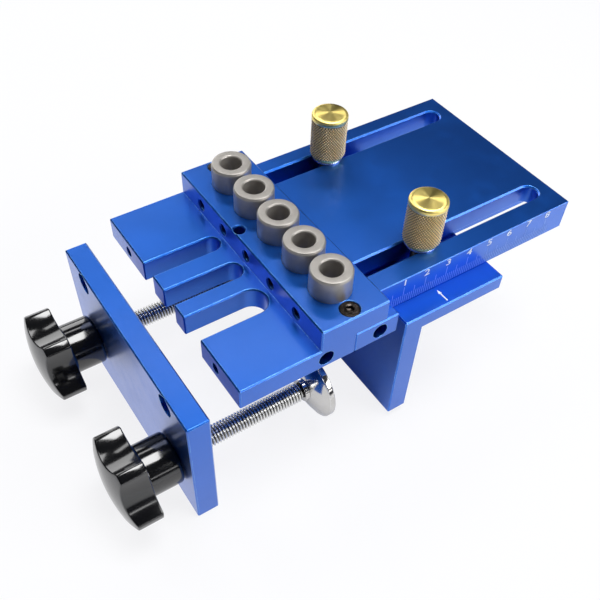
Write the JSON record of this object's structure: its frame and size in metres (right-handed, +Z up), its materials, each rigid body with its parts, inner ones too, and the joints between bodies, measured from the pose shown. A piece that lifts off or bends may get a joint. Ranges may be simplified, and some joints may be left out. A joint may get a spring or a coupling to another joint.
{
  "type": "doweling jig",
  "caption": "Doweling jig: guide block with a row of drill bushings, forked front plate, slotted plate with a sliding fence, and a clamp bar with star knob screws and swivel pads.",
  "frame": {"origin": "on the axis of the middle bushing, in the plane of the fork plate's top face, where the bushings seat", "axes": "+X from the clamp bar to the end of the rear plate, +Y to the far side, away from the ruler, +Z up along the bushings, out of their tops"},
  "size_m": [0.1991, 0.1023, 0.0905],
  "materials": {
    "blue_anodised": "satin anodised",
    "bushing_steel": "ground",
    "black_steel": "black oxide",
    "zinc_steel": "zinc plated",
    "bright_steel": "bright",
    "chrome": "mirror",
    "black_plastic": "glossy moulded",
    "brass": "turned and knurled"
  },
  "bodies": {
    "jig": {"fork_body": "blue_anodised", "cross_bar": "blue_anodised", "rear_plate": "blue_anodised", "drill_bushing_1": "bushing_steel", "drill_bushing_2": "bushing_steel", "drill_bushing_3": "bushing_steel", "drill_bushing_4": "bushing_steel", "drill_bushing_5": "bushing_steel", "bushing_set_screws": "black_steel", "end_screws": "black_steel", "cross_bar_screws": "black_steel", "plate_screws": "black_steel"},
    "clamp_unit": {"clamp_bar": "blue_anodised"},
    "pad_near": {"swivel_pad_near": "chrome"},
    "pad_far": {"swivel_pad_far": "chrome"},
    "screw_near": {"clamp_screw_near": "zinc_steel", "star_knob_near": "black_plastic"},
    "screw_far": {"clamp_screw_far": "zinc_steel", "star_knob_far": "black_plastic"},
    "fence": {"fence_bracket": "blue_anodised", "fence_stud_near": "zinc_steel", "fence_stud_far": "zinc_steel", "thumb_washer_near": "bright_steel", "thumb_washer_far": "bright_steel"},
    "thumb_near": {"thumb_knob_near": "brass"},
    "thumb_far": {"thumb_knob_far": "brass"}
  },
  "joints": [
    {"name": "bar_fit", "type": "slide", "parent": "jig", "child": "clamp_unit", "axis": [0.8473, 0, 0.5311], "range_m": [0, 0.01281]},
    {"name": "near_pad_advance", "type": "slide", "parent": "clamp_unit", "child": "pad_near", "axis": [1, 0, 0], "range_m": [-0.0425, 0]},
    {"name": "near_screw_turn", "type": "hinge", "parent": "pad_near", "child": "screw_near", "pos_m": [-0.065, -0.033, -0.0421], "axis": [1, 0, 0], "range_deg": [-12241, 0]},
    {"name": "far_pad_advance", "type": "slide", "parent": "clamp_unit", "child": "pad_far", "axis": [1, 0, 0], "range_m": [-0.0425, 0]},
    {"name": "far_screw_turn", "type": "hinge", "parent": "pad_far", "child": "screw_far", "pos_m": [-0.065, 0.033, -0.0421], "axis": [1, 0, 0], "range_deg": [-12241, 0]},
    {"name": "fence_slide", "type": "slide", "parent": "jig", "child": "fence", "axis": [1, 0, 0], "range_m": [-0.0026, 0.0553]},
    {"name": "near_thumb_turn", "type": "hinge", "parent": "fence", "child": "thumb_near", "pos_m": [0.0434, -0.0291, 0.0075], "axis": [0, 0, 1], "range_deg": [0, 360]},
    {"name": "far_thumb_turn", "type": "hinge", "parent": "fence", "child": "thumb_far", "pos_m": [0.0434, 0.0309, 0.0075], "axis": [0, 0, 1], "range_deg": [0, 360]}
  ],
  "couplings": [
    {"joint": "near_screw_turn", "follows": "near_pad_advance", "rad_per_m": 5026.5},
    {"joint": "far_screw_turn", "follows": "far_pad_advance", "rad_per_m": 5026.5}
  ]
}
